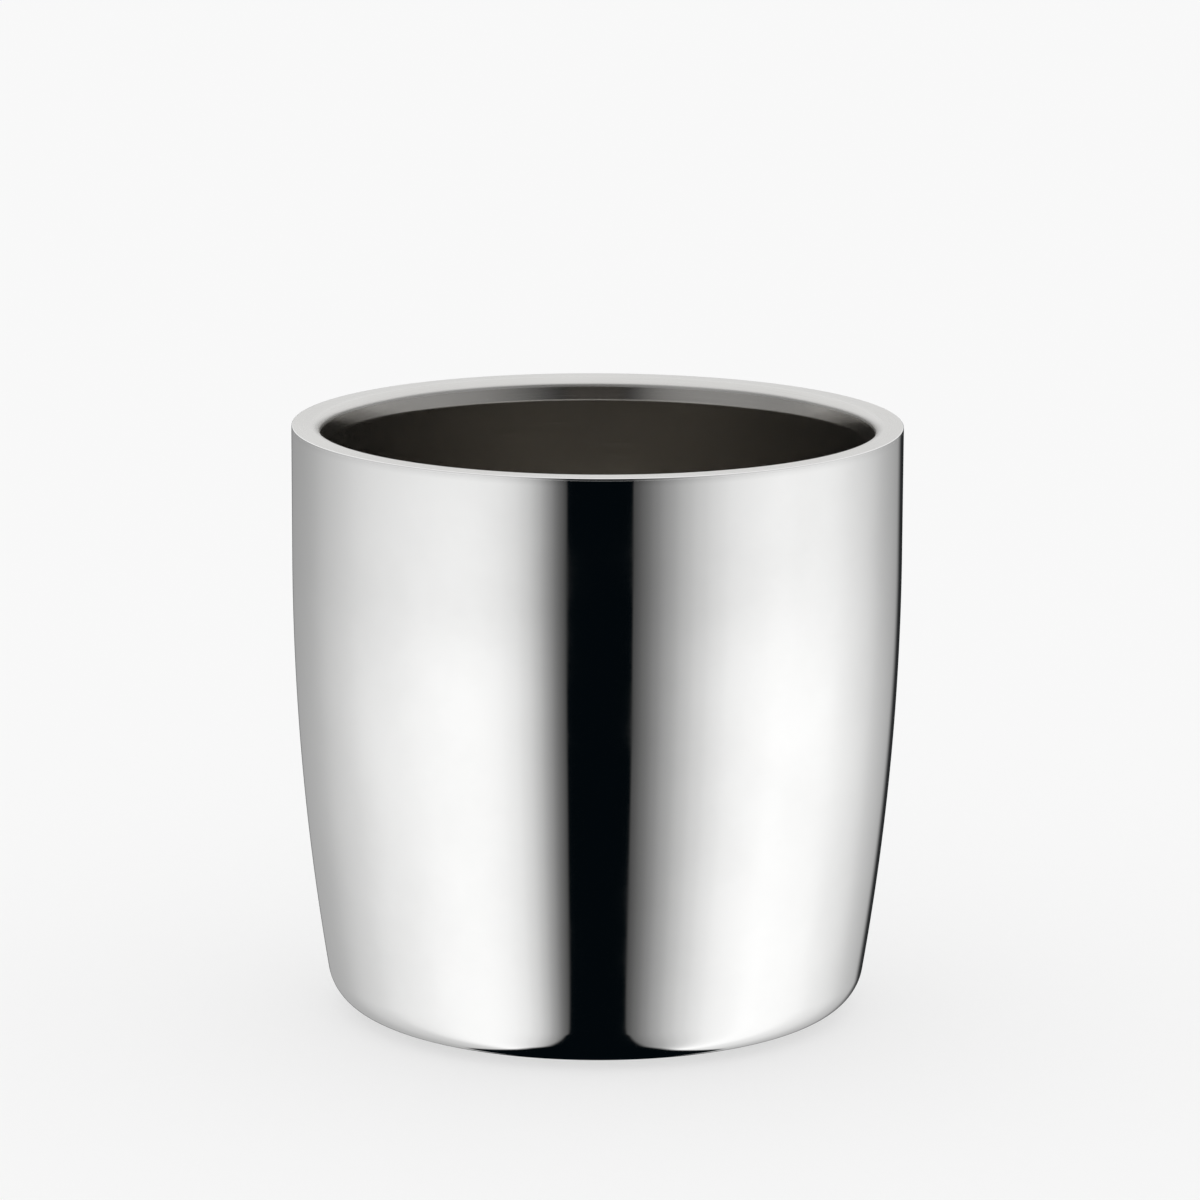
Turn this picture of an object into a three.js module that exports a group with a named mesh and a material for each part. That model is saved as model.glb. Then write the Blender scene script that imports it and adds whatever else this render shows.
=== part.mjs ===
// Double-walled stainless steel champagne cooler, in millimetres, +Z up.
// The origin is the centre of the footprint: z = 0 is the table.
// Two drawn cups, one inside the other, meet at a broad flat rim. A stamped plate closes the base.
import * as THREE from "three";

// ---------------------------------------------------------------- driving dimensions
const OVERALL_HEIGHT = 224; // table to the top of the rim
const OUTER_DIAMETER = 230; // over the straight band under the rim
const RIM_WIDTH = 11.5; // outer face of the shell to the inner face of the liner

// Outer shell
const SHELL_SHEET = 0.7;
const STRAIGHT_BAND = 50; // cylindrical part of the wall, measured down from the top of the rim
const BELLY_RADIUS = 990; // the slow inward curve from the straight band down to the heel
const HEEL_RADIUS = 16.5;

// Inner liner and its flange, which is the rim
const LINER_SHEET = 0.9;
const LIP_RADIUS = 3.4; // rounding from the rim's flat top into the well
const LEAD_IN_ANGLE = THREE.MathUtils.degToRad(9); // how far the flare under the lip leans out
const LEAD_IN_DEPTH = 9.4; // top of the rim to the foot of the flare
const LEAD_IN_RADIUS = 8; // bend at the foot of the flare
const RIM_EDGE_RADIUS = 0.3; // outer edge of the rim
const FLOOR_HEIGHT = 14; // table to the floor of the well
const FLOOR_CORNER_RADIUS = 20;

// Silicone ring under the base flange
const RING_HEIGHT = 1; // how far it holds the steel off the table
const RING_WIDTH = 7;
const RING_INSET = 7; // from the start of the heel in to the ring's outer edge
const RING_EDGE = 0.25; // bevel along its lower edges

// Base flange and the plate that closes it
const FLANGE_MARGIN = 6; // steel left between the ring and the flange's opening
const PLATE_SHEET = 0.8;
const PLATE_LAP = 9; // how far the plate reaches over the flange, where it is welded
const PLATE_BORDER = 8; // flat border of the plate inside the opening
const PLATE_RISE = 2.2; // height of the stamped centre above the border
const PLATE_SLOPE = 4; // width of the slope up to the stamped centre

// Vent hole and its plug
const VENT_RADIUS = 3;
const VENT_CLEARANCE = 0.1;
const PLUG_HEAD_RADIUS = 6;
const PLUG_HEAD_THICKNESS = 1.2;
const PLUG_HEAD_BEVEL = 0.6;
const PLUG_BARB_OVERHANG = 0.9;
const PLUG_BARB_HEIGHT = 2.4;

// Foam pad between the plate and the liner's floor
const PAD_MARGIN = 4; // kept clear of the slope of the stamped centre
const PAD_HOLE_MARGIN = 4; // kept clear of the plug's barb

// Facets
const SEGMENTS = 64; // around the axis
const SMALL_SEGMENTS = 24; // around the plug
const BELLY_STEPS = 6;
const HEEL_STEPS = 5;
const LIP_STEPS = 3;
const LEAD_IN_STEPS = 2;
const EDGE_STEPS = 2;

// ---------------------------------------------------------------- derived sizes
const OUTER_RADIUS = OUTER_DIAMETER / 2;
const BAND_BOTTOM = OVERALL_HEIGHT - STRAIGHT_BAND;
const BELLY_CENTRE = new THREE.Vector2(OUTER_RADIUS - BELLY_RADIUS, BAND_BOTTOM);
const SHELL_TOP = OVERALL_HEIGHT - LINER_SHEET; // the rim's flange rests on it

// Centre of the corner between a wall and its floor, as [radius, height].
// Every wall follows the belly's centre, so walls that differ only in inset are parallel.
function cornerCentre(inset, floorZ, cornerRadius) {
  const z = floorZ + cornerRadius;
  const reach = BELLY_RADIUS - inset - cornerRadius;
  const drop = BAND_BOTTOM - z;
  return new THREE.Vector2(BELLY_CENTRE.x + Math.sqrt(reach ** 2 - drop ** 2), z);
}

const heelCentre = cornerCentre(0, RING_HEIGHT, HEEL_RADIUS);
const ringOuter = heelCentre.x - RING_INSET;
const ringInner = ringOuter - RING_WIDTH;
const openingRadius = ringInner - FLANGE_MARGIN;
const flangeTop = RING_HEIGHT + SHELL_SHEET;
const plateRadius = openingRadius + PLATE_LAP;
const slopeOuter = openingRadius - PLATE_BORDER;
const slopeInner = slopeOuter - PLATE_SLOPE;
const centreUnder = flangeTop + PLATE_RISE; // underside of the plate's stamped centre
const centreTop = centreUnder + PLATE_SHEET;
const barbRadius = VENT_RADIUS + PLUG_BARB_OVERHANG;
const linerUnder = FLOOR_HEIGHT - LINER_SHEET;

// ---------------------------------------------------------------- profile helpers
const point = (r, z) => new THREE.Vector2(r, z);

// Points along an arc, both ends included.
function arc(centre, radius, from, to, steps) {
  const points = [];
  for (let i = 0; i <= steps; i++) {
    const angle = from + ((to - from) * i) / steps;
    points.push(point(centre.x + radius * Math.cos(angle), centre.y + radius * Math.sin(angle)));
  }
  return points;
}

// A wall from the edge of its flat floor up to the bottom of the straight band.
function wall(inset, floorZ, cornerRadius) {
  const centre = cornerCentre(inset, floorZ, cornerRadius);
  const meet = centre.clone().sub(BELLY_CENTRE).angle() - 2 * Math.PI;
  const corner = arc(centre, cornerRadius, -Math.PI / 2, meet, HEEL_STEPS);
  const belly = arc(BELLY_CENTRE, BELLY_RADIUS - inset, meet, 0, BELLY_STEPS);
  return corner.concat(belly.slice(1));
}

// A body of revolution. The profile runs counter-clockwise, seen with the radius to the right and z up.
function turned(profile, segments = SEGMENTS) {
  return new THREE.LatheGeometry(profile, segments).rotateX(Math.PI / 2);
}

const closed = (profile) => [...profile, profile[0].clone()];

// ---------------------------------------------------------------- pieces
function outerShell() {
  const outside = wall(0, RING_HEIGHT, HEEL_RADIUS);
  const inside = wall(SHELL_SHEET, flangeTop, HEEL_RADIUS - SHELL_SHEET);
  return turned(
    closed([
      point(openingRadius, RING_HEIGHT),
      ...outside,
      point(OUTER_RADIUS, SHELL_TOP),
      point(OUTER_RADIUS - SHELL_SHEET, SHELL_TOP),
      ...inside.reverse(),
      point(openingRadius, flangeTop),
    ]),
  );
}

// The flare and the lip between the straight wall and a flat top, for a wall whose face is at faceRadius.
// The arcs share their centres on both faces of the sheet, so inset is 0 on the well's side.
function lip(faceRadius, inset) {
  const leaning = Math.PI - LEAD_IN_ANGLE;
  const footCentre = point(faceRadius + LEAD_IN_RADIUS, OVERALL_HEIGHT - LEAD_IN_DEPTH);
  const lipZ = OVERALL_HEIGHT - LIP_RADIUS;
  const smaller = LEAD_IN_RADIUS - LIP_RADIUS;
  const rise = lipZ - footCentre.y - smaller * Math.sin(LEAD_IN_ANGLE);
  const lipCentre = point(
    footCentre.x - smaller * Math.cos(LEAD_IN_ANGLE) + rise * Math.tan(LEAD_IN_ANGLE),
    lipZ,
  );
  const foot = arc(footCentre, LEAD_IN_RADIUS - inset, Math.PI, leaning, LEAD_IN_STEPS);
  return foot.concat(arc(lipCentre, LIP_RADIUS - inset, leaning, Math.PI / 2, LIP_STEPS));
}

function innerLiner() {
  const faceRadius = OUTER_RADIUS - RIM_WIDTH;
  const well = wall(RIM_WIDTH, FLOOR_HEIGHT, FLOOR_CORNER_RADIUS);
  const back = wall(RIM_WIDTH - LINER_SHEET, linerUnder, FLOOR_CORNER_RADIUS + LINER_SHEET);
  const edgeCentre = point(OUTER_RADIUS - RIM_EDGE_RADIUS, OVERALL_HEIGHT - RIM_EDGE_RADIUS);
  return turned([
    point(0, linerUnder),
    ...back,
    ...lip(faceRadius, LINER_SHEET),
    point(OUTER_RADIUS, SHELL_TOP),
    ...arc(edgeCentre, RIM_EDGE_RADIUS, 0, Math.PI / 2, EDGE_STEPS),
    ...lip(faceRadius, 0).reverse(),
    ...well.reverse(),
    point(0, FLOOR_HEIGHT),
  ]);
}

function basePlate() {
  const hole = VENT_RADIUS + VENT_CLEARANCE;
  const under = [
    point(hole, centreUnder),
    point(slopeInner, centreUnder),
    point(slopeOuter, flangeTop),
    point(plateRadius, flangeTop),
  ];
  const top = under.map((p) => point(p.x, p.y + PLATE_SHEET)).reverse();
  return turned(closed([...under, ...top]));
}

function ventPlug() {
  const headBottom = centreUnder - PLUG_HEAD_THICKNESS;
  return turned(
    [
      point(0, headBottom),
      point(PLUG_HEAD_RADIUS - PLUG_HEAD_BEVEL, headBottom),
      point(PLUG_HEAD_RADIUS, headBottom + PLUG_HEAD_BEVEL),
      point(PLUG_HEAD_RADIUS, centreUnder),
      point(VENT_RADIUS, centreUnder),
      point(VENT_RADIUS, centreTop),
      point(barbRadius, centreTop),
      point(VENT_RADIUS, centreTop + PLUG_BARB_HEIGHT),
      point(0, centreTop + PLUG_BARB_HEIGHT),
    ],
    SMALL_SEGMENTS,
  );
}

function floorPad() {
  const outer = slopeInner - PAD_MARGIN;
  const hole = barbRadius + PAD_HOLE_MARGIN;
  return turned(
    closed([
      point(hole, centreTop),
      point(outer, centreTop),
      point(outer, linerUnder),
      point(hole, linerUnder),
    ]),
  );
}

function antiSlipRing() {
  return turned(
    closed([
      point(ringInner + RING_EDGE, 0),
      point(ringOuter - RING_EDGE, 0),
      point(ringOuter, RING_EDGE),
      point(ringOuter, RING_HEIGHT),
      point(ringInner, RING_HEIGHT),
      point(ringInner, RING_EDGE),
    ]),
  );
}

// ---------------------------------------------------------------- materials
const material = (color, roughness, metalness) =>
  new THREE.MeshStandardMaterial({ color, roughness, metalness });

const polishedSteel = () => material(0xdededc, 0.06, 1);
const satinSteel = () => material(0xb4b3ae, 0.35, 1);
const plateSteel = () => material(0xa8a8a6, 0.45, 1);
const silicone = () => material(0x26272a, 0.75, 0);
const foam = () => material(0x3a3b3d, 0.95, 0);

// ---------------------------------------------------------------- assembly
const cooler = new THREE.Group();

function addPiece(name, geometry, finish) {
  const mesh = new THREE.Mesh(geometry, finish);
  mesh.name = name;
  cooler.add(mesh);
}

addPiece("outer_shell", outerShell(), polishedSteel());
addPiece("inner_liner", innerLiner(), satinSteel());
addPiece("base_plate", basePlate(), plateSteel());
addPiece("vent_plug", ventPlug(), silicone());
addPiece("floor_pad", floorPad(), foam());
addPiece("anti_slip_ring", antiSlipRing(), silicone());

export default cooler;
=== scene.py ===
# A double-walled champagne cooler: mirror-polished outside, broad satin rim and spun satin well.
# Every piece is a body of revolution about Z. Lengths are in metres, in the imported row's frame.
import math

import bmesh
import bpy
from mathutils import Matrix, Vector


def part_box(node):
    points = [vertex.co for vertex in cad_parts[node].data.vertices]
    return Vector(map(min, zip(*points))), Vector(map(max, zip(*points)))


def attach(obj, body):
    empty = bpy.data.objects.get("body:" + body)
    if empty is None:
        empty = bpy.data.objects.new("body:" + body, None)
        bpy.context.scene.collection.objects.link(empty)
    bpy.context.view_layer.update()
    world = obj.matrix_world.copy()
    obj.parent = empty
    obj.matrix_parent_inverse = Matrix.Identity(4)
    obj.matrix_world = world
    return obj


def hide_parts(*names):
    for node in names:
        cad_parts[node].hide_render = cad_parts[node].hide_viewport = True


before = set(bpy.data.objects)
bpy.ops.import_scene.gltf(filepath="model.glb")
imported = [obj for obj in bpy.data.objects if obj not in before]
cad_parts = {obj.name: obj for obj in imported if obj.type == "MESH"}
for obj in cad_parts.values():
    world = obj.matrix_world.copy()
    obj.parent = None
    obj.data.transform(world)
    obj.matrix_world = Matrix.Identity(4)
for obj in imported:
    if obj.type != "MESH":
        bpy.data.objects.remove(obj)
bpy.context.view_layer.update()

# ---------------------------------------------------------------- camera
CAMERA_ELEVATION = math.radians(11.64)  # above the horizon
CAMERA_DISTANCE = 2.184  # to the point that it looks at
CAMERA_TARGET_Z = 0.1561
CAMERA_LENS = 173.2
SENSOR_WIDTH = 36.0
SIDE_SHIFT = 0.0025  # the photograph has the cooler a little left of the middle
CAMERA_ROLL = math.radians(0.22)  # and leans a little to the right


def make_camera():
    data = bpy.data.cameras.new("camera")
    data.lens = CAMERA_LENS
    data.sensor_width = SENSOR_WIDTH
    data.shift_x = SIDE_SHIFT
    camera = bpy.data.objects.new("camera", data)
    bpy.context.scene.collection.objects.link(camera)
    back = Vector((0, -math.cos(CAMERA_ELEVATION), math.sin(CAMERA_ELEVATION)))
    camera.location = Vector((0, 0, CAMERA_TARGET_Z)) + CAMERA_DISTANCE * back
    tilt = Matrix.Rotation(math.pi / 2 - CAMERA_ELEVATION, 3, "X")
    roll = Matrix.Rotation(CAMERA_ROLL, 3, "Z")
    camera.rotation_euler = (tilt @ roll).to_euler()
    bpy.context.scene.camera = camera


make_camera()

# ---------------------------------------------------------------- sizes from the frame
shell_low, shell_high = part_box("outer_shell")
liner_low, liner_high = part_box("inner_liner")
plate_low, plate_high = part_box("base_plate")
plug_low, plug_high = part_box("vent_plug")
pad_low, pad_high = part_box("floor_pad")
ring_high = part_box("anti_slip_ring")[1]

OUTER_RADIUS = shell_high.x
RIM_TOP = liner_high.z
SEAM_Z = shell_high.z  # the rim's flange lies on the shell's top edge
LINER_SHEET = RIM_TOP - SEAM_Z
RING_OUTER = ring_high.x
RING_HEIGHT = ring_high.z
SHELL_BOTTOM = shell_low.z
SHELL_SHEET = plate_low.z - SHELL_BOTTOM
LINER_UNDER = liner_low.z

# ---------------------------------------------------------------- sizes that the boxes don't give
RIM_WIDTH = 0.0115  # shell's outer face to the well's face
STRAIGHT_BAND = 0.050
BELLY_RADIUS = 0.990
HEEL_RADIUS = 0.0165
FLOOR_CORNER_RADIUS = 0.020
LIP_RADIUS = 0.0034
LEAD_IN_ANGLE = math.radians(9)
LEAD_IN_DEPTH = 0.0094
LEAD_IN_RADIUS = 0.008
RIM_EDGE_RADIUS = 0.0003
ROLL_OFF_HEIGHT = 0.003  # buffing takes a little more off just below the rim
ROLL_OFF_DEPTH = 0.00006
RING_WIDTH = 0.007
FLANGE_MARGIN = 0.006
PLATE_BORDER = 0.008
PLATE_SLOPE = 0.004
PLATE_RISE = 0.0022
PLATE_SHEET = plate_high.z - plate_low.z - PLATE_RISE
VENT_RADIUS = 0.003
VENT_CLEARANCE = 0.0001
PAD_HOLE_RADIUS = 0.0079
PAD_EDGE = 0.0008
PLUG_BARB = 0.0009  # how far the barb stands out past the vent
PLUG_RIM_SHARE = 0.35  # of the head's height. The rest is its dome
RING_EDGE = 0.00035
RIB_COUNT = 3
GROOVE_HALF = 0.0006  # half the width at the mouth of a groove between ribs
GROOVE_DEPTH = 0.0003

SHEET_EDGE = 0.00015  # softened edges of cut sheet
SEAM_EDGE = 0.00002  # the rim's seam is buffed until it hardly shows
SEAM_SUPPORT = 0.00005
SUPPORT = 0.0003  # distance of the supporting loop beside a sharp turn
SEGMENTS = 256  # around the axis

BAND_BOTTOM = RIM_TOP - STRAIGHT_BAND
BELLY_CENTRE = (OUTER_RADIUS - BELLY_RADIUS, BAND_BOTTOM)


# ---------------------------------------------------------------- profile helpers, in (radius, height)
def arc(centre, radius, start, end, steps):
    """Points along an arc, both ends included, with its angles in degrees."""
    points = []
    for i in range(steps + 1):
        angle = math.radians(start + (end - start) * i / steps)
        points.append((centre[0] + radius * math.cos(angle), centre[1] + radius * math.sin(angle)))
    return points


def straight(start, end):
    """The inner points of a straight run: a supporting point near each end keeps the shading flat."""
    run = Vector(end) - Vector(start)
    if run.length < 3 * SUPPORT:
        return []
    step = run.normalized() * SUPPORT
    return [tuple(Vector(start) + step), tuple(Vector(end) - step)]


def joined(*runs):
    """Joins runs of points with supported straight lines."""
    outline = list(runs[0])
    for run in runs[1:]:
        if (Vector(outline[-1]) - Vector(run[0])).length < 1e-7:
            outline += run[1:]
        else:
            outline += straight(outline[-1], run[0]) + list(run)
    return outline


def corner_centre(inset, floor_z, corner_radius):
    """Centre of the corner between a wall and its floor. Walls that differ only in inset are parallel."""
    z = floor_z + corner_radius
    reach = BELLY_RADIUS - inset - corner_radius
    return BELLY_CENTRE[0] + math.sqrt(reach**2 - (BAND_BOTTOM - z) ** 2), z


def wall(inset, floor_z, corner_radius, corner_steps, belly_steps):
    """A wall's outline from the edge of its flat floor up to the bottom of the straight band."""
    centre = corner_centre(inset, floor_z, corner_radius)
    rise = centre[1] - BELLY_CENTRE[1]
    meet = math.degrees(math.atan2(rise, centre[0] - BELLY_CENTRE[0]))
    corner = arc(centre, corner_radius, -90, meet, corner_steps)
    belly = arc(BELLY_CENTRE, BELLY_RADIUS - inset, meet, 0, belly_steps)
    return corner + belly[1:]


def lip(inset, foot_steps, lip_steps):
    """The flare and the rounding between the well's straight wall and the rim's flat top, or their back."""
    lean = math.degrees(LEAD_IN_ANGLE)
    foot_centre = (OUTER_RADIUS - RIM_WIDTH + LEAD_IN_RADIUS, RIM_TOP - LEAD_IN_DEPTH)
    lip_z = RIM_TOP - LIP_RADIUS
    smaller = LEAD_IN_RADIUS - LIP_RADIUS
    rise = lip_z - foot_centre[1] - smaller * math.sin(LEAD_IN_ANGLE)
    lip_radius = foot_centre[0] - smaller * math.cos(LEAD_IN_ANGLE) + rise * math.tan(LEAD_IN_ANGLE)
    foot = arc(foot_centre, LEAD_IN_RADIUS - inset, 180, 180 - lean, foot_steps)
    rounding = arc((lip_radius, lip_z), LIP_RADIUS - inset, 180 - lean, 90, lip_steps)
    return joined(foot, rounding)


def revolve(name, outline, segments=SEGMENTS):
    """A closed body of revolution. The outline runs counter-clockwise, seen with the radius to the right.
    It closes on itself, unless its two ends lie on the axis."""
    mesh = bmesh.new()
    rings = []
    for radius, height in outline:
        if radius < 1e-9:
            rings.append([mesh.verts.new((0, 0, height))])
            continue
        angles = [2 * math.pi * i / segments for i in range(segments)]
        rings.append([mesh.verts.new((radius * math.cos(a), radius * math.sin(a), height)) for a in angles])
    pairs = list(zip(rings, rings[1:]))
    if len(rings[0]) > 1:
        pairs.append((rings[-1], rings[0]))
    for lower, upper in pairs:
        for i in range(segments):
            j = (i + 1) % segments
            loop = [
                lower[i % len(lower)],
                lower[j % len(lower)],
                upper[j % len(upper)],
                upper[i % len(upper)],
            ]
            mesh.faces.new(list(dict.fromkeys(loop)))  # a ring of one vertex gives triangles
    for face in mesh.faces:
        face.smooth = True
    data = bpy.data.meshes.new(name)
    mesh.to_mesh(data)
    mesh.free()
    piece = bpy.data.objects.new(name, data)
    bpy.context.scene.collection.objects.link(piece)
    return piece


# ---------------------------------------------------------------- pieces
def rolled_off(start, end, steps=6):
    """The polished wall's outline between two heights just below the rim, where it curves in a little."""
    heights = [start + (end - start) * i / steps for i in range(steps + 1)]
    heights.insert(1, start + SEAM_SUPPORT)
    heights.insert(-1, end - SEAM_SUPPORT)
    points = []
    for z in heights:
        share = 1 - (RIM_TOP - z) / ROLL_OFF_HEIGHT
        points.append((OUTER_RADIUS - ROLL_OFF_DEPTH * share**2, z))
    return points


def shell_outline():
    opening = RING_OUTER - RING_WIDTH - FLANGE_MARGIN
    flange_top = SHELL_BOTTOM + SHELL_SHEET
    outside = wall(0, SHELL_BOTTOM, HEEL_RADIUS, 28, 64)
    inside = wall(SHELL_SHEET, flange_top, HEEL_RADIUS - SHELL_SHEET, 12, 20)
    e = SHEET_EDGE
    edge_low = arc((opening + e, SHELL_BOTTOM + e), e, 180, 270, 3)
    edge_high = arc((opening + e, flange_top - e), e, 90, 180, 3)
    rolled = rolled_off(RIM_TOP - ROLL_OFF_HEIGHT, SEAM_Z - SEAM_EDGE)
    top_out = [(rolled[-1][0] - SEAM_EDGE, SEAM_Z)]
    top_in = [(OUTER_RADIUS - SHELL_SHEET, SEAM_Z)]
    return joined(edge_low, outside, rolled, top_out, top_in, inside[::-1], edge_high)


def liner_outline():
    well = wall(RIM_WIDTH, LINER_UNDER + LINER_SHEET, FLOOR_CORNER_RADIUS, 24, 48)
    back = wall(RIM_WIDTH - LINER_SHEET, LINER_UNDER, FLOOR_CORNER_RADIUS + LINER_SHEET, 12, 20)
    r = RIM_EDGE_RADIUS
    rolled = rolled_off(SEAM_Z + SEAM_EDGE, RIM_TOP - r, 3)
    edge_low = [(rolled[0][0] - SEAM_EDGE, SEAM_Z)]
    edge_high = arc((rolled[-1][0] - r, RIM_TOP - r), r, 0, 90, 8)
    return joined(
        [(0, LINER_UNDER)],
        back,
        lip(LINER_SHEET, 4, 8),
        edge_low,
        rolled,
        edge_high[1:],
        lip(0, 10, 20)[::-1],
        well[::-1],
        [(0, LINER_UNDER + LINER_SHEET)],
    )


def plate_outline():
    opening = RING_OUTER - RING_WIDTH - FLANGE_MARGIN
    slope_out = opening - PLATE_BORDER
    low = plate_low.z
    turns = 10
    slope = []
    for i in range(turns + 1):
        t = i / turns
        eased = t * t * (3 - 2 * t)
        slope.append((slope_out - PLATE_SLOPE * (1 - t), low + PLATE_RISE * (1 - eased)))
    hole = VENT_RADIUS + VENT_CLEARANCE
    under = joined([(hole, low + PLATE_RISE)], slope, [(plate_high.x, low)])
    top = [(r, z + PLATE_SHEET) for r, z in reversed(under)]
    return joined(under, top)


def plug_outline():
    seat = plate_low.z + PLATE_RISE
    top_of_plate = seat + PLATE_SHEET
    head_radius = plug_high.x
    head = seat - plug_low.z
    dome = []
    steps = 8
    for i in range(steps + 1):
        angle = math.pi / 2 * i / steps
        drop = PLUG_RIM_SHARE * head + (1 - PLUG_RIM_SHARE) * head * math.cos(angle)
        dome.append((head_radius * math.sin(angle), seat - drop))
    barb = VENT_RADIUS + PLUG_BARB
    return joined(
        dome,
        [(head_radius, seat)],
        [(VENT_RADIUS, seat)],
        [(VENT_RADIUS, top_of_plate)],
        [(barb, top_of_plate)],
        [(VENT_RADIUS, plug_high.z)],
        [(0, plug_high.z)],
    )


def ring_outline():
    inner = RING_OUTER - RING_WIDTH
    edge = RING_EDGE
    pitch = (RING_WIDTH - 2 * edge) / RIB_COUNT
    under = arc((inner + edge, edge), edge, 180, 270, 4)
    for i in range(1, RIB_COUNT):
        middle = inner + edge + pitch * i
        under += [
            (middle - GROOVE_HALF, 0),
            (middle - GROOVE_HALF / 2, GROOVE_DEPTH),
            (middle + GROOVE_HALF / 2, GROOVE_DEPTH),
            (middle + GROOVE_HALF, 0),
        ]
    under += arc((RING_OUTER - edge, edge), edge, 270, 360, 4)
    return joined(under, [(RING_OUTER, RING_HEIGHT)], [(inner, RING_HEIGHT)])


def pad_outline():
    e = PAD_EDGE
    return joined(
        arc((PAD_HOLE_RADIUS + e, pad_low.z + e), e, 180, 270, 3),
        arc((pad_high.x - e, pad_low.z + e), e, -90, 0, 3),
        arc((pad_high.x - e, pad_high.z - e), e, 0, 90, 3),
        arc((PAD_HOLE_RADIUS + e, pad_high.z - e), e, 90, 180, 3),
    )


# ---------------------------------------------------------------- material helpers
def new_material(name, color, metallic, roughness):
    material = bpy.data.materials.new(name)
    material.use_nodes = True
    shader = material.node_tree.nodes["Principled BSDF"]
    shader.inputs["Base Color"].default_value = (*color, 1)
    shader.inputs["Metallic"].default_value = metallic
    shader.inputs["Roughness"].default_value = roughness
    return material, material.node_tree, shader


def put(tree, target, value):
    """Links a socket or sets a number."""
    if isinstance(value, bpy.types.NodeSocket):
        tree.links.new(value, target)
    else:
        target.default_value = value


def sums(tree, operation, *values):
    node = tree.nodes.new("ShaderNodeMath")
    node.operation = operation
    for socket, value in zip(node.inputs, values):
        put(tree, socket, value)
    return node.outputs[0]


def remap(tree, value, low, high, to_low, to_high, smooth=False):
    node = tree.nodes.new("ShaderNodeMapRange")
    if smooth:
        node.interpolation_type = "SMOOTHSTEP"
    names = ("Value", "From Min", "From Max", "To Min", "To Max")
    for name, number in zip(names, (value, low, high, to_low, to_high)):
        put(tree, node.inputs[name], number)
    return node.outputs["Result"]


def noise(tree, vector, scale, detail=2.0, roughness=0.5):
    node = tree.nodes.new("ShaderNodeTexNoise")
    put(tree, node.inputs["Vector"], vector)
    node.inputs["Scale"].default_value = scale
    node.inputs["Detail"].default_value = detail
    node.inputs["Roughness"].default_value = roughness
    return node.outputs["Fac"]


def object_place(tree):
    return tree.nodes.new("ShaderNodeTexCoord").outputs["Object"]


def round_axis(tree):
    """The object's own x, y and height, and the distance from the axis."""
    split = tree.nodes.new("ShaderNodeSeparateXYZ")
    tree.links.new(object_place(tree), split.inputs[0])
    x, y, z = split.outputs
    squares = sums(tree, "ADD", sums(tree, "MULTIPLY", x, x), sums(tree, "MULTIPLY", y, y))
    return x, y, z, sums(tree, "MAXIMUM", sums(tree, "SQRT", squares), 1e-4)


def turned_place(tree, around, across):
    """Coordinates that change slowly round the axis and quickly along the outline, for turning marks."""
    x, y, z, radius = round_axis(tree)
    join = tree.nodes.new("ShaderNodeCombineXYZ")
    put(tree, join.inputs[0], sums(tree, "MULTIPLY", sums(tree, "DIVIDE", x, radius), around))
    put(tree, join.inputs[1], sums(tree, "MULTIPLY", sums(tree, "DIVIDE", y, radius), around))
    put(tree, join.inputs[2], sums(tree, "MULTIPLY", sums(tree, "ADD", radius, z), across))
    return join.outputs[0]


def bump(tree, shader, height, strength, distance):
    node = tree.nodes.new("ShaderNodeBump")
    node.inputs["Strength"].default_value = strength
    node.inputs["Distance"].default_value = distance
    put(tree, node.inputs["Height"], height)
    tree.links.new(node.outputs["Normal"], shader.inputs["Normal"])


def mix_colors(tree, factor, low, high):
    node = tree.nodes.new("ShaderNodeMix")
    node.data_type = "RGBA"
    put(tree, node.inputs["Factor"], factor)
    for socket, color in zip((node.inputs[6], node.inputs[7]), (low, high)):
        put(tree, socket, (*color, 1) if isinstance(color, tuple) else color)
    return node.outputs[2]


def blend(tree, factor, low, high):
    node = tree.nodes.new("ShaderNodeMix")
    for socket, value in zip(node.inputs[:4], (factor, None, low, high)):
        if value is not None:
            put(tree, socket, value)
    return node.outputs[0]


# ---------------------------------------------------------------- materials
MIRROR_TONES = ((0.84, 0.84, 0.835), (0.80, 0.80, 0.795))
RIM_TONES = ((0.635, 0.63, 0.615), (0.70, 0.695, 0.68))
# The well's tones are darker and warmer than the rim's: painted shade and painted reflection in the well.
WELL_SHADE_TONES = ((0.60, 0.585, 0.56), (0.68, 0.665, 0.64))
PLATE_TONES = ((0.64, 0.64, 0.635), (0.54, 0.53, 0.51))
SILICONE_TONES = ((0.018, 0.018, 0.02), (0.045, 0.044, 0.042))
FOAM_TONES = ((0.03, 0.03, 0.032), (0.06, 0.06, 0.064))
MIRROR_ROUGHNESS = (0.035, 0.075)
RIM_ROUGHNESS = (0.25, 0.36)
WELL_ROUGHNESS = (0.10, 0.17)
PLATE_ROUGHNESS = (0.34, 0.48)
SILICONE_ROUGHNESS = (0.5, 0.68)
BUFFED_ROUGHNESS = 0.05
WELL_FINISH_TOP = RIM_TOP - 0.0033
WELL_FINISH_FADE = 0.0006
BUFFED_FROM = OUTER_RADIUS - 0.00045
BUFFED_FADE = 0.00015
FOAM_CELLS = 900.0  # cells in a metre


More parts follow.
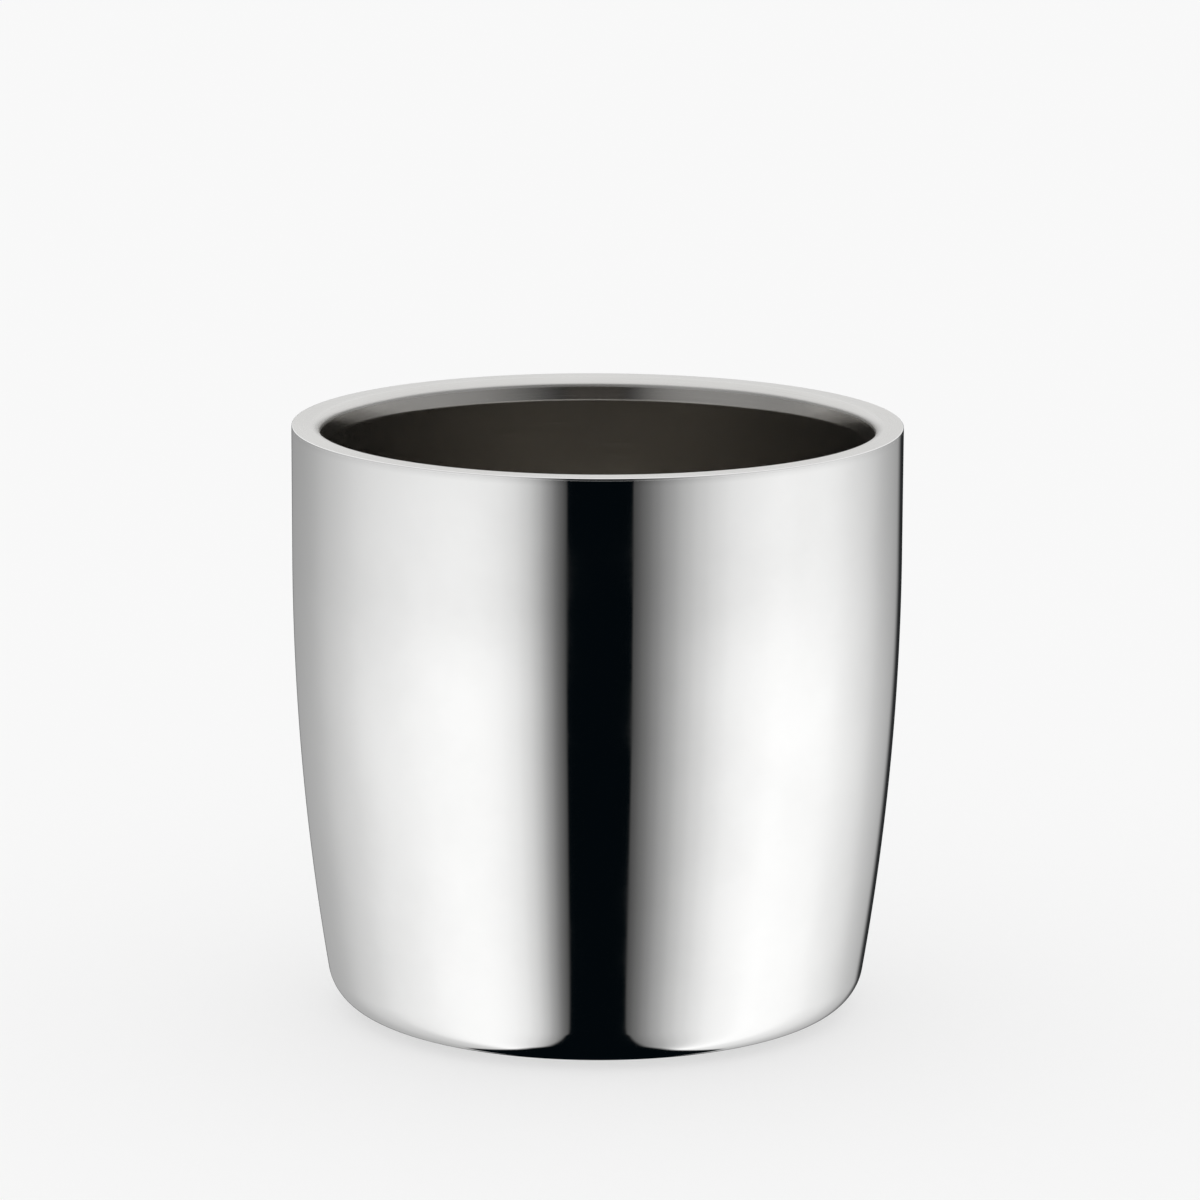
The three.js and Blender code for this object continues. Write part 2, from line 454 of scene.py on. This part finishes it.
def mirror_steel():
    """Buffed to a mirror: long faint turning lines, a little drawing waviness and soft wipe marks."""
    material, tree, shader = new_material("mirror_steel", (0.83, 0.83, 0.825), 1, 0.05)
    place = object_place(tree)
    lines = noise(tree, turned_place(tree, 1.5, 1500), 1.0, 3.0)
    wipes = noise(tree, place, 22.0, 4.0, 0.6)
    base = remap(tree, wipes, 0.45, 0.75, *MIRROR_ROUGHNESS, smooth=True)
    put(tree, shader.inputs["Roughness"], sums(tree, "ADD", base, sums(tree, "MULTIPLY", lines, 0.02)))
    tint = mix_colors(tree, remap(tree, wipes, 0.4, 0.8, 0, 1), *MIRROR_TONES)
    tree.links.new(tint, shader.inputs["Base Color"])
    waves = noise(tree, place, 28.0, 0.0)
    height = sums(tree, "ADD", waves, sums(tree, "MULTIPLY", lines, 0.004))
    bump(tree, shader, height, 0.25, 0.0001)
    return material


def satin_steel():
    """One sheet with three finishes: a satin rim, a finer spun well and a buffed outer edge. The well's
    colour is also painted a little darker and warmer than the rim's: painted shade and painted reflection.
    """
    material, tree, shader = new_material("satin_steel", RIM_TONES[0], 1, 0.3)
    height, radius = round_axis(tree)[2:]
    well_from = WELL_FINISH_TOP - WELL_FINISH_FADE
    in_well = remap(tree, height, well_from, WELL_FINISH_TOP, 1, 0, smooth=True)
    on_edge = remap(tree, radius, BUFFED_FROM, BUFFED_FROM + BUFFED_FADE, 0, 1, smooth=True)
    fine = noise(tree, turned_place(tree, 2.5, 9000), 1.0, 2.0)
    broad = noise(tree, turned_place(tree, 1.2, 1800), 1.0, 2.0)
    clouds = noise(tree, object_place(tree), 14.0, 3.0)
    lines = sums(tree, "ADD", sums(tree, "MULTIPLY", fine, 0.7), sums(tree, "MULTIPLY", broad, 0.3))
    rim_roughness = remap(tree, lines, 0.3, 0.7, *RIM_ROUGHNESS)
    well_roughness = remap(tree, lines, 0.3, 0.7, *WELL_ROUGHNESS)
    roughness = blend(tree, in_well, rim_roughness, well_roughness)
    put(tree, shader.inputs["Roughness"], blend(tree, on_edge, roughness, BUFFED_ROUGHNESS))
    toned = sums(tree, "ADD", sums(tree, "MULTIPLY", lines, 0.5), sums(tree, "MULTIPLY", clouds, 0.5))
    tone = remap(tree, toned, 0.35, 0.65, 0, 1)
    rim_color = mix_colors(tree, tone, *RIM_TONES)
    # painted shade and painted reflection: the well takes the darker, warmer tones
    shaded_well_color = mix_colors(tree, tone, *WELL_SHADE_TONES)
    color = mix_colors(tree, in_well, rim_color, shaded_well_color)
    color = mix_colors(tree, on_edge, color, MIRROR_TONES[0])
    tree.links.new(color, shader.inputs["Base Color"])
    relief = sums(tree, "MULTIPLY", lines, sums(tree, "SUBTRACT", 1.0, on_edge))
    bump(tree, shader, relief, 0.3, 0.00002)
    return material


def plate_steel():
    """Rolled plate as it leaves the press: faint grain one way, and a dull heat tint."""
    material, tree, shader = new_material("plate_steel", (0.62, 0.62, 0.61), 1, 0.4)
    stretch = tree.nodes.new("ShaderNodeMapping")
    stretch.inputs["Scale"].default_value = (25, 2200, 25)
    tree.links.new(object_place(tree), stretch.inputs["Vector"])
    grain = noise(tree, stretch.outputs["Vector"], 1.0, 3.0)
    clouds = noise(tree, object_place(tree), 35.0, 4.0)
    put(tree, shader.inputs["Roughness"], remap(tree, grain, 0.3, 0.7, *PLATE_ROUGHNESS))
    tint = mix_colors(tree, remap(tree, clouds, 0.35, 0.7, 0, 1), *PLATE_TONES)
    tree.links.new(tint, shader.inputs["Base Color"])
    bump(tree, shader, grain, 0.3, 0.00005)
    return material


def silicone():
    material, tree, shader = new_material("silicone", (0.02, 0.02, 0.022), 0, 0.6)
    dust = noise(tree, object_place(tree), 900.0, 3.0)
    patches = noise(tree, object_place(tree), 60.0, 4.0)
    tint = mix_colors(tree, remap(tree, patches, 0.4, 0.75, 0, 1), *SILICONE_TONES)
    tree.links.new(tint, shader.inputs["Base Color"])
    put(tree, shader.inputs["Roughness"], remap(tree, patches, 0.3, 0.7, *SILICONE_ROUGHNESS))
    bump(tree, shader, dust, 0.2, 0.00005)
    return material


def foam():
    material, tree, shader = new_material("foam", (0.045, 0.045, 0.048), 0, 0.95)
    cells = tree.nodes.new("ShaderNodeTexVoronoi")
    cells.inputs["Scale"].default_value = FOAM_CELLS
    tree.links.new(object_place(tree), cells.inputs["Vector"])
    pore_depth_and_shade = cells.outputs["Distance"]
    # Darker towards each cell's middle, where the bump is lowest: painted shade in the pores.
    tint = mix_colors(tree, remap(tree, pore_depth_and_shade, 0, 0.8, 0, 1), *FOAM_TONES)
    tree.links.new(tint, shader.inputs["Base Color"])
    bump(tree, shader, pore_depth_and_shade, 0.6, 0.0003)
    return material


# ---------------------------------------------------------------- assembly
def add_piece(name, outline, material, node, segments=SEGMENTS):
    piece = revolve(name, outline, segments)
    piece.data.materials.append(material)
    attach(piece, "root")
    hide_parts(node)


dark_silicone = silicone()
add_piece("polished_shell", shell_outline(), mirror_steel(), "outer_shell")
add_piece("satin_liner", liner_outline(), satin_steel(), "inner_liner")
add_piece("stamped_base", plate_outline(), plate_steel(), "base_plate", 128)
add_piece("silicone_plug", plug_outline(), dark_silicone, "vent_plug", 48)
add_piece("foam_pad", pad_outline(), foam(), "floor_pad", 96)
add_piece("silicone_ring", ring_outline(), dark_silicone, "anti_slip_ring", 192)

# ---------------------------------------------------------------- floor
FLOOR_HALF = 12.0
FLOOR_ALBEDO = 0.45
FLOOR_GLOW = 0.52  # a lit table: it keeps the shadow pale


def make_floor():
    data = bpy.data.meshes.new("floor")
    h = FLOOR_HALF
    data.from_pydata([(-h, -h, 0), (h, -h, 0), (h, h, 0), (-h, h, 0)], [], [(0, 1, 2, 3)])
    floor = bpy.data.objects.new("floor", data)
    bpy.context.scene.collection.objects.link(floor)
    material, tree, shader = new_material("floor", (FLOOR_ALBEDO,) * 3, 0, 0.9)
    shader.inputs["Specular IOR Level"].default_value = 0
    shader.inputs["Emission Color"].default_value = (1, 1, 1, 1)
    shader.inputs["Emission Strength"].default_value = FLOOR_GLOW
    floor.data.materials.append(material)
    floor.visible_glossy = False


make_floor()

# ---------------------------------------------------------------- studio
# Brightness of the studio's walls by azimuth, in degrees from the camera's side, positive towards +X.
# Two broad white panels, brightest at the sides, fade to shade towards the front and towards the back.
PANELS = (
    (-180, 0.31),
    (-160, 0.345),
    (-130, 0.48),
    (-104, 0.715),
    (-76, 0.89),
    (-50, 0.955),
    (-36, 0.875),
    (-29, 0.75),
    (-24, 0.59),
    (-20, 0.405),
    (-16, 0.22),
    (-12, 0.084),
    (-10, 0.05),
    (12, 0.055),
    (16, 0.112),
    (20, 0.193),
    (24, 0.29),
    (30, 0.435),
    (36, 0.58),
    (42, 0.70),
    (50, 0.84),
    (66, 0.965),
    (80, 0.985),
    (104, 0.90),
    (128, 0.62),
    (150, 0.38),
    (180, 0.30),
)
PANEL_GAIN = 1.2  # what the steel doesn't reflect
PANEL_FADE = (-17.0, 6.0)  # the panels fade between these elevations, up past the horizon
PANEL_FADE_TO = 0.3
PANEL_SPREAD = (0.84, 0.78)  # reach below which the panels' shades run straight on, and how much
SHADES_TURN = (0.15, 0.55)  # y between which the shades turn from along the gap to across it
# The dark gap is drawn on the plan of all directions. A direction's reach, its distance from the middle of
# the plan, is the cosine of its elevation, so straight down is the middle. The gap runs from the front,
# under the cooler, to a rounded nose, and on as a narrow strip behind it.
GAP_AZIMUTH = math.radians(1.1)
GAP_HALF_IN_FRONT = 0.2055  # at the horizon
GAP_NARROWING = 1.2  # power of the reach
GAP_HALF_BELOW = 0.194
GAP_WIDENS = (0.87, 0.76)  # reaches between which the front part widens to the lower one
GAP_HALF_UNDER = 0.224  # straight down
GAP_UNDER_FROM = (-0.25, 0.05)  # y between which the lower width changes to that one
GAP_HALF_BEHIND = 0.06  # the narrow strip
GAP_REAR_END = 0.8  # y of the nose's tip
GAP_REAR_POWER = 3  # how blunt the nose is
GAP_SOFTNESS = (0.06, 0.0105)  # straight down, and at the horizon
SIDE_GAP = (153.0, 163.0, 184.0, 193.0)  # azimuths: it starts, is full, starts to end, ends
SIDE_GAP_BOTTOM = (-30.0, -16.0)
SIDE_GAP_TOP = (-4.0, 2.0)
SIDE_GAP_DEPTH = 0.94
GAP_COLOR = (0.0011, 0.0026, 0.0038)
GAP_COLOR_ABOVE = (0.052, 0.048, 0.043)  # above the horizon
HORIZON = (0.0, 0.1)  # z between which below the horizon changes to above it
CEILING = 0.98
CEILING_BEHIND = 1.0  # elevation at which it starts, behind the cooler
CEILING_IN_FRONT = 15.0
CEILING_TURN = (-0.4, 0.4)  # y between which its start changes from one to the other
CEILING_SOFTNESS = 9.0
BACKDROP = 0.965  # what the camera sees directly


def spread_azimuth(tree, x, y, reach):
    """The azimuth, in degrees, of a direction's shade on the panels. Shades run parallel to the gap in front
    and across it behind, where only y counts."""
    start, amount = PANEL_SPREAD
    behind = remap(tree, y, *SHADES_TURN, 0, 1, smooth=True)
    drop = sums(tree, "MAXIMUM", sums(tree, "SUBTRACT", start, reach), 0.0)
    added = blend(tree, behind, sums(tree, "MULTIPLY", drop, amount), 0.0)
    across = sums(tree, "SQRT", sums(tree, "SUBTRACT", 1.0, sums(tree, "MULTIPLY", y, y)))
    sideways = blend(tree, behind, x, sums(tree, "MULTIPLY", across, sums(tree, "SIGN", x)))
    return sums(tree, "DEGREES", sums(tree, "ARCTAN2", sideways, sums(tree, "SUBTRACT", added, y)))


def panel_level(tree, x, y, reach, elevation):
    ramp = tree.nodes.new("ShaderNodeValToRGB")
    ramp.color_ramp.interpolation = "CARDINAL"
    elements = ramp.color_ramp.elements
    while len(elements) < len(PANELS):
        elements.new(0.5)
    for element, (angle, value) in zip(elements, PANELS):
        element.position = (angle + 180) / 360
        element.color = (value, value, value, 1)
    tree.links.new(remap(tree, spread_azimuth(tree, x, y, reach), -180, 180, 0, 1), ramp.inputs[0])
    fade = remap(tree, elevation, *PANEL_FADE, PANEL_GAIN, PANEL_GAIN * PANEL_FADE_TO, smooth=True)
    return sums(tree, "MULTIPLY", ramp.outputs["Color"], fade)


def gap_half(tree, y, reach):
    """Half the width of the dark gap on the plan, in front of the cooler and behind it."""
    narrowed = sums(tree, "MULTIPLY", sums(tree, "POWER", reach, GAP_NARROWING), GAP_HALF_IN_FRONT)
    widens = remap(tree, reach, *GAP_WIDENS, 0, 1, smooth=True)
    below = remap(tree, y, *GAP_UNDER_FROM, GAP_HALF_BELOW, GAP_HALF_UNDER, smooth=True)
    in_front = blend(tree, widens, narrowed, below)
    along = sums(tree, "POWER", sums(tree, "DIVIDE", y, GAP_REAR_END), GAP_REAR_POWER)
    left = sums(tree, "SQRT", sums(tree, "MAXIMUM", sums(tree, "SUBTRACT", 1.0, along), 0.0))
    behind = sums(tree, "MULTIPLY_ADD", left, GAP_HALF_UNDER - GAP_HALF_BEHIND, GAP_HALF_BEHIND)
    return blend(tree, sums(tree, "GREATER_THAN", y, 0.0), in_front, behind)


def darkness(tree, x, y, z, reach, elevation):
    """Near 1 in the gaps between the panels and below the cooler, 0 on the panels."""
    turned = sums(tree, "MULTIPLY_ADD", sums(tree, "MINIMUM", y, 0.0), math.tan(GAP_AZIMUTH), x)
    off_middle = sums(tree, "ABSOLUTE", turned)
    inside = sums(tree, "SUBTRACT", gap_half(tree, y, reach), off_middle)
    softness = remap(tree, reach, 0, 1, *GAP_SOFTNESS)
    gap = remap(tree, sums(tree, "DIVIDE", inside, softness), -1, 0, 0, 1, smooth=True)
    above = remap(tree, z, *HORIZON, 0, 1)
    behind = sums(tree, "MULTIPLY", sums(tree, "GREATER_THAN", y, 0.0), above)
    gap = sums(tree, "MULTIPLY", gap, sums(tree, "SUBTRACT", 1.0, behind))
    azimuth = sums(tree, "DEGREES", sums(tree, "ARCTAN2", x, sums(tree, "MULTIPLY", y, -1.0)))
    all_round = sums(tree, "MODULO", sums(tree, "ADD", azimuth, 360.0), 360.0)
    opens = remap(tree, all_round, *SIDE_GAP[:2], 0, SIDE_GAP_DEPTH, smooth=True)
    closes = remap(tree, all_round, *SIDE_GAP[2:], 1, 0, smooth=True)
    bottom = remap(tree, elevation, *SIDE_GAP_BOTTOM, 0, 1, smooth=True)
    top = remap(tree, elevation, *SIDE_GAP_TOP, 1, 0, smooth=True)
    side = sums(tree, "MULTIPLY", sums(tree, "MULTIPLY", opens, closes), sums(tree, "MULTIPLY", bottom, top))
    return sums(tree, "MAXIMUM", gap, side)


def make_studio():
    world = bpy.data.worlds.new("studio")
    bpy.context.scene.world = world
    world.use_nodes = True
    tree = world.node_tree
    tree.nodes.clear()
    split = tree.nodes.new("ShaderNodeSeparateXYZ")
    tree.links.new(tree.nodes.new("ShaderNodeTexCoord").outputs["Generated"], split.inputs[0])
    x, y, z = split.outputs
    reach = sums(tree, "SQRT", sums(tree, "SUBTRACT", 1.0, sums(tree, "MULTIPLY", z, z)))
    elevation = sums(tree, "DEGREES", sums(tree, "ARCSINE", z))
    panels = panel_level(tree, x, y, reach, elevation)
    gap_color = mix_colors(tree, remap(tree, z, *HORIZON, 0, 1), GAP_COLOR, GAP_COLOR_ABOVE)
    walls = mix_colors(tree, darkness(tree, x, y, z, reach, elevation), panels, gap_color)
    # The ceiling comes down lower behind the cooler than in front of it.
    start = remap(tree, y, *CEILING_TURN, CEILING_IN_FRONT, CEILING_BEHIND, smooth=True)
    ceiling = remap(tree, sums(tree, "SUBTRACT", elevation, start), 0, CEILING_SOFTNESS, 0, 1, smooth=True)
    room = mix_colors(tree, ceiling, walls, (CEILING,) * 3)
    path = tree.nodes.new("ShaderNodeLightPath").outputs["Is Camera Ray"]
    seen = mix_colors(tree, path, room, (BACKDROP,) * 3)
    background = tree.nodes.new("ShaderNodeBackground")
    tree.links.new(seen, background.inputs["Color"])
    output = tree.nodes.new("ShaderNodeOutputWorld")
    tree.links.new(background.outputs[0], output.inputs["Surface"])


make_studio()

scene = bpy.context.scene
scene.view_settings.view_transform = "Standard"
scene.view_settings.look = "None"
scene.cycles.glossy_bounces = 12
scene.cycles.max_bounces = 16
scene.cycles.use_denoising = True
